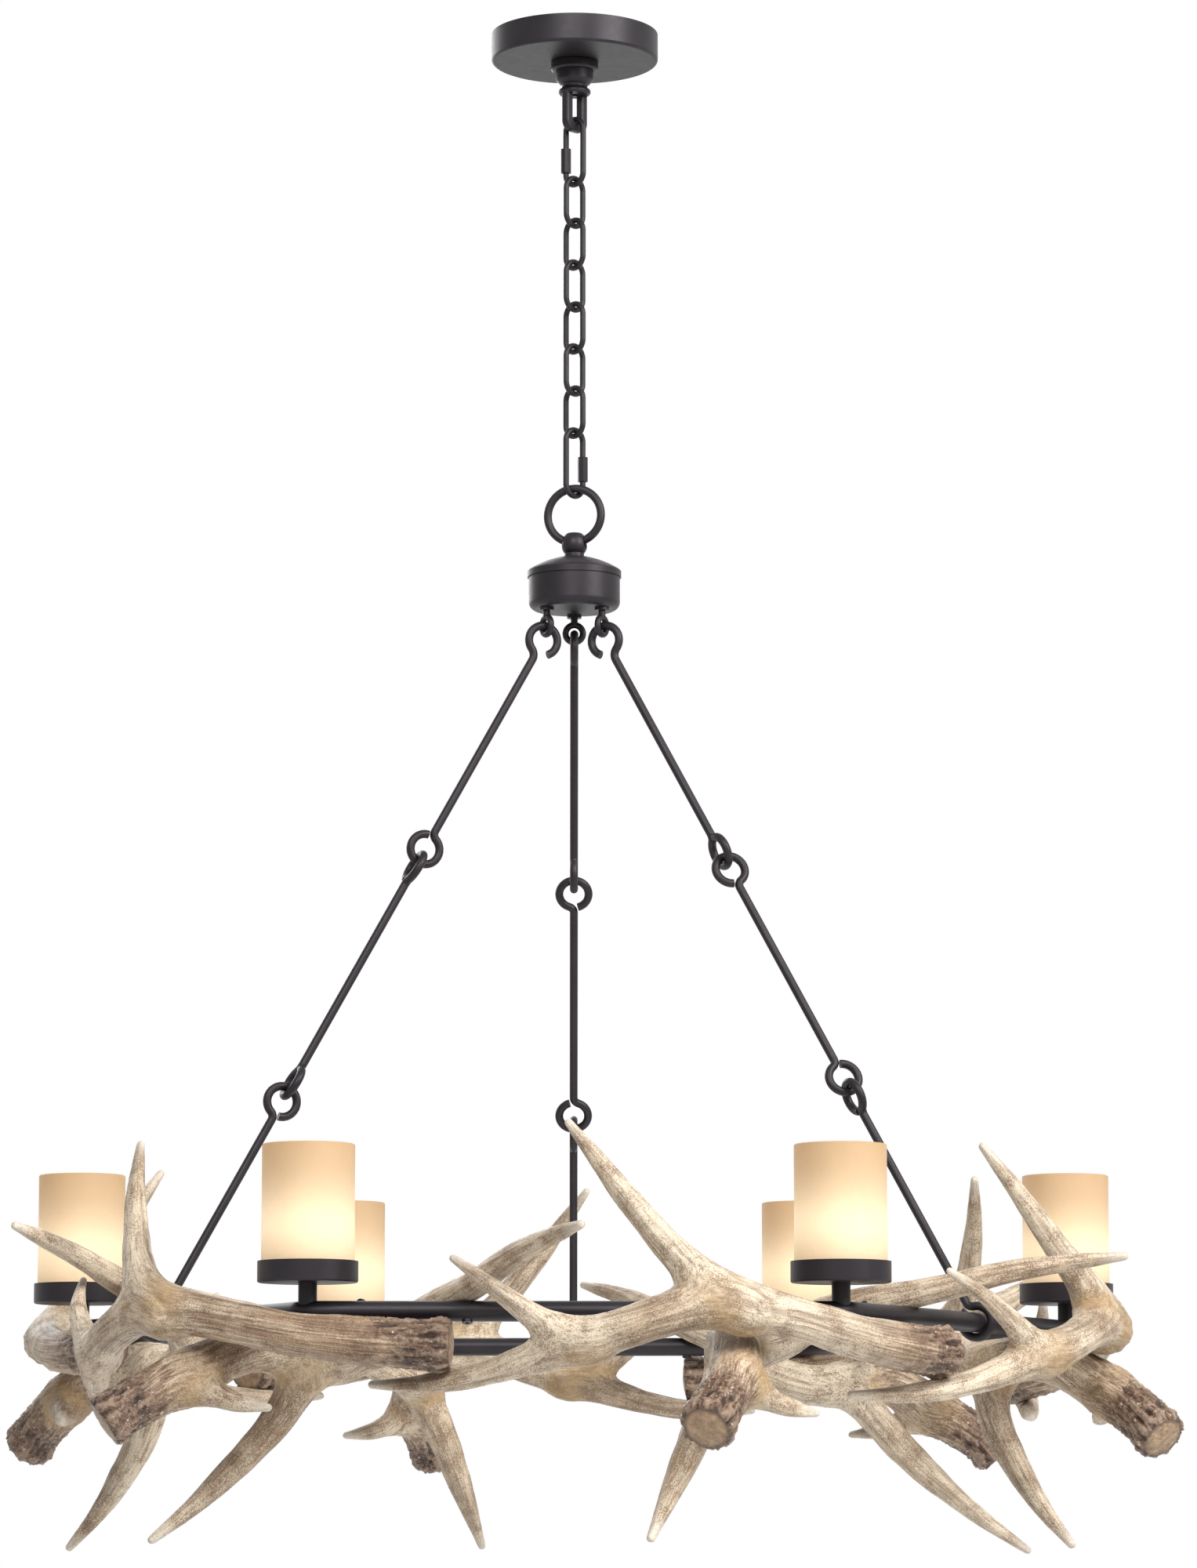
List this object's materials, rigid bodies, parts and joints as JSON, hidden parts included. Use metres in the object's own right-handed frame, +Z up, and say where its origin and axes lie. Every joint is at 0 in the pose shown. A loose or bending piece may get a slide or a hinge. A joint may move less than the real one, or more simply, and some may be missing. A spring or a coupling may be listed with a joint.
{
  "type": "antler chandelier",
  "caption": "Hanging light with a hexagonal ring of interlocked antlers, lit glass cylinders on saucers, jointed support rods, hub, chain and ceiling canopy.",
  "frame": {"origin": "centre of the ceiling crossbar's top face, where the chandelier meets the ceiling", "axes": "+Z up, the camera's side of the picture towards -Y, +X to its right"},
  "size_m": [0.9765, 0.9912, 1.2924],
  "materials": {
    "bronze": "matt dark bronze powder coat",
    "fixing_steel": "zinc plated steel",
    "holder_shell": "ivory lamp holder sleeve",
    "amber_glass": "frosted amber glass, lit from inside",
    "bulb_glass": "warm white lamp envelope",
    "antler": "hand stained cast resin antler, cream and brown"
  },
  "bodies": {
    "ceiling_mount": {"ceiling_crossbar": "fixing_steel", "threaded_nipple": "fixing_steel", "nipple_nut": "fixing_steel", "canopy_loop": "bronze"},
    "canopy": {"canopy": "bronze"},
    "lock_collar": {"lock_collar": "bronze"},
    "upper_quick_link": {"upper_quick_link": "bronze"},
    "upper_sleeve": {"upper_quick_link_sleeve": "bronze"},
    "chain_link_1": {"chain_link_1": "bronze"},
    "chain_link_2": {"chain_link_2": "bronze"},
    "chain_link_3": {"chain_link_3": "bronze"},
    "chain_link_4": {"chain_link_4": "bronze"},
    "chain_link_5": {"chain_link_5": "bronze"},
    "chain_link_6": {"chain_link_6": "bronze"},
    "lower_quick_link": {"lower_quick_link": "bronze"},
    "lower_sleeve": {"lower_quick_link_sleeve": "bronze"},
    "top_ring": {"top_ring": "bronze"},
    "hub": {"hub_knob": "bronze", "hub_lid": "bronze", "hub_cup": "bronze", "eye_bolts": "bronze", "hub_nuts": "bronze"},
    "chain_rear": {"upper_rod_rear": "bronze", "lower_rod_rear": "bronze"},
    "middle_rod_rear": {"middle_rod_rear": "bronze"},
    "chain_left": {"upper_rod_left": "bronze", "lower_rod_left": "bronze"},
    "middle_rod_left": {"middle_rod_left": "bronze"},
    "chain_right": {"upper_rod_right": "bronze", "lower_rod_right": "bronze"},
    "middle_rod_right": {"middle_rod_right": "bronze"},
    "ring": {"ring_frame": "bronze", "lamp_stems": "bronze", "saucers": "bronze", "lamp_holders": "holder_shell", "upper_antler_front": "antler", "lower_antler_front": "antler", "upper_antler_front_right": "antler", "lower_antler_front_right": "antler", "upper_antler_rear_right": "antler", "lower_antler_rear_right": "antler", "upper_antler_rear": "antler", "lower_antler_rear": "antler", "upper_antler_rear_left": "antler", "lower_antler_rear_left": "antler", "upper_antler_front_left": "antler", "lower_antler_front_left": "antler", "antler_screws": "fixing_steel"},
    "glass_1": {"glass_1": "amber_glass"},
    "bulb_1": {"bulb_1": "bulb_glass"},
    "glass_2": {"glass_2": "amber_glass"},
    "bulb_2": {"bulb_2": "bulb_glass"},
    "glass_3": {"glass_3": "amber_glass"},
    "bulb_3": {"bulb_3": "bulb_glass"},
    "glass_4": {"glass_4": "amber_glass"},
    "bulb_4": {"bulb_4": "bulb_glass"},
    "glass_5": {"glass_5": "amber_glass"},
    "bulb_5": {"bulb_5": "bulb_glass"},
    "glass_6": {"glass_6": "amber_glass"},
    "bulb_6": {"bulb_6": "bulb_glass"}
  },
  "joints": [
    {"name": "canopy_drop", "type": "slide", "parent": "ceiling_mount", "child": "canopy", "axis": [0, 0, -1], "range_m": [0, 0.048]},
    {"name": "lock_collar_turn", "type": "hinge", "parent": "canopy", "child": "lock_collar", "pos_m": [0, 0, -0.028], "axis": [0, 0, 1], "continuous": true},
    {"name": "upper_quick_link_swing", "type": "hinge", "parent": "ceiling_mount", "child": "upper_quick_link", "pos_m": [0, 0, -0.0815], "axis": [0.6691, 0.7431, 0], "range_deg": [-30, 30]},
    {"name": "upper_sleeve_travel", "type": "slide", "parent": "upper_quick_link", "child": "upper_sleeve", "axis": [0, 0, 1], "range_m": [0, 0.012]},
    {"name": "chain_link_1_swing", "type": "hinge", "parent": "upper_quick_link", "child": "chain_link_1", "pos_m": [0, 0, -0.1314], "axis": [0.766, -0.6428, 0], "range_deg": [-30, 30]},
    {"name": "chain_link_2_swing", "type": "hinge", "parent": "chain_link_1", "child": "chain_link_2", "pos_m": [0, 0, -0.1679], "axis": [-0.6947, -0.7193, 0], "range_deg": [-30, 30]},
    {"name": "chain_link_3_swing", "type": "hinge", "parent": "chain_link_2", "child": "chain_link_3", "pos_m": [0, 0, -0.2045], "axis": [-0.7071, 0.7071, 0], "range_deg": [-30, 30]},
    {"name": "chain_link_4_swing", "type": "hinge", "parent": "chain_link_3", "child": "chain_link_4", "pos_m": [0, 0, -0.2411], "axis": [0.6947, 0.7193, 0], "range_deg": [-30, 30]},
    {"name": "chain_link_5_swing", "type": "hinge", "parent": "chain_link_4", "child": "chain_link_5", "pos_m": [0, 0, -0.2777], "axis": [0.7071, -0.7071, 0], "range_deg": [-30, 30]},
    {"name": "chain_link_6_swing", "type": "hinge", "parent": "chain_link_5", "child": "chain_link_6", "pos_m": [0, 0, -0.3143], "axis": [-0.6947, -0.7193, 0], "range_deg": [-30, 30]},
    {"name": "lower_quick_link_swing", "type": "hinge", "parent": "chain_link_6", "child": "lower_quick_link", "pos_m": [0, 0, -0.3509], "axis": [0.7071, -0.7071, 0], "range_deg": [-30, 30]},
    {"name": "lower_sleeve_travel", "type": "slide", "parent": "lower_quick_link", "child": "lower_sleeve", "axis": [0, 0, 1], "range_m": [0, 0.012]},
    {"name": "top_ring_swing", "type": "hinge", "parent": "lower_quick_link", "child": "top_ring", "pos_m": [0, 0, -0.4027], "axis": [0.7431, 0.6691, 0], "range_deg": [-16, 16]},
    {"name": "hub_swing", "type": "hinge", "parent": "top_ring", "child": "hub", "pos_m": [0, 0, -0.4428], "axis": [-0.9703, 0.2419, 0], "range_deg": [-25, 25]},
    {"name": "ring_twist", "type": "hinge", "parent": "hub", "child": "ring", "pos_m": [0, 0, -0.5012], "axis": [0, 0, 1], "range_deg": [-3.5, 3.5], "stiffness_Nm_per_rad": 2.3},
    {"name": "chain_rear_turn", "type": "hinge", "parent": "hub", "child": "chain_rear", "pos_m": [0, 0.027, -0.5242], "axis": [0, 0, 1], "range_deg": [-3.9, 3.9]},
    {"name": "middle_rod_rear_turn", "type": "hinge", "parent": "chain_rear", "child": "middle_rod_rear", "pos_m": [0, 0.19277, -0.8166], "axis": [0, 0.4932, -0.8699], "range_deg": [-10, 10]},
    {"name": "chain_left_turn", "type": "hinge", "parent": "hub", "child": "chain_left", "pos_m": [-0.02338, -0.0135, -0.5242], "axis": [0, 0, 1], "range_deg": [-3.9, 3.9]},
    {"name": "middle_rod_left_turn", "type": "hinge", "parent": "chain_left", "child": "middle_rod_left", "pos_m": [-0.18069, -0.07257, -0.8166], "axis": [-0.4665, -0.1751, -0.867], "range_deg": [-10, 10]},
    {"name": "chain_right_turn", "type": "hinge", "parent": "hub", "child": "chain_right", "pos_m": [0.02338, -0.0135, -0.5242], "axis": [0, 0, 1], "range_deg": [-3.9, 3.9]},
    {"name": "middle_rod_right_turn", "type": "hinge", "parent": "chain_right", "child": "middle_rod_right", "pos_m": [0.17394, -0.08426, -0.8166], "axis": [0.4475, -0.2103, -0.8692], "range_deg": [-10, 10]},
    {"name": "glass_1_lift", "type": "slide", "parent": "ring", "child": "glass_1", "axis": [0, 0, 1], "range_m": [0, 0.13]},
    {"name": "bulb_1_lift", "type": "slide", "parent": "ring", "child": "bulb_1", "axis": [0, 0, 1], "range_m": [0, 0.13]},
    {"name": "glass_2_lift", "type": "slide", "parent": "ring", "child": "glass_2", "axis": [0, 0, 1], "range_m": [0, 0.13]},
    {"name": "bulb_2_lift", "type": "slide", "parent": "ring", "child": "bulb_2", "axis": [0, 0, 1], "range_m": [0, 0.13]},
    {"name": "glass_3_lift", "type": "slide", "parent": "ring", "child": "glass_3", "axis": [0, 0, 1], "range_m": [0, 0.13]},
    {"name": "bulb_3_lift", "type": "slide", "parent": "ring", "child": "bulb_3", "axis": [0, 0, 1], "range_m": [0, 0.13]},
    {"name": "glass_4_lift", "type": "slide", "parent": "ring", "child": "glass_4", "axis": [0, 0, 1], "range_m": [0, 0.13]},
    {"name": "bulb_4_lift", "type": "slide", "parent": "ring", "child": "bulb_4", "axis": [0, 0, 1], "range_m": [0, 0.13]},
    {"name": "glass_5_lift", "type": "slide", "parent": "ring", "child": "glass_5", "axis": [0, 0, 1], "range_m": [0, 0.13]},
    {"name": "bulb_5_lift", "type": "slide", "parent": "ring", "child": "bulb_5", "axis": [0, 0, 1], "range_m": [0, 0.13]},
    {"name": "glass_6_lift", "type": "slide", "parent": "ring", "child": "glass_6", "axis": [0, 0, 1], "range_m": [0, 0.13]},
    {"name": "bulb_6_lift", "type": "slide", "parent": "ring", "child": "bulb_6", "axis": [0, 0, 1], "range_m": [0, 0.13]}
  ],
  "couplings": [
    {"joint": "chain_rear_turn", "follows": "ring_twist", "ratio": 1.0814},
    {"joint": "chain_left_turn", "follows": "ring_twist", "ratio": 1.0793},
    {"joint": "chain_right_turn", "follows": "ring_twist", "ratio": 1.0809}
  ]
}
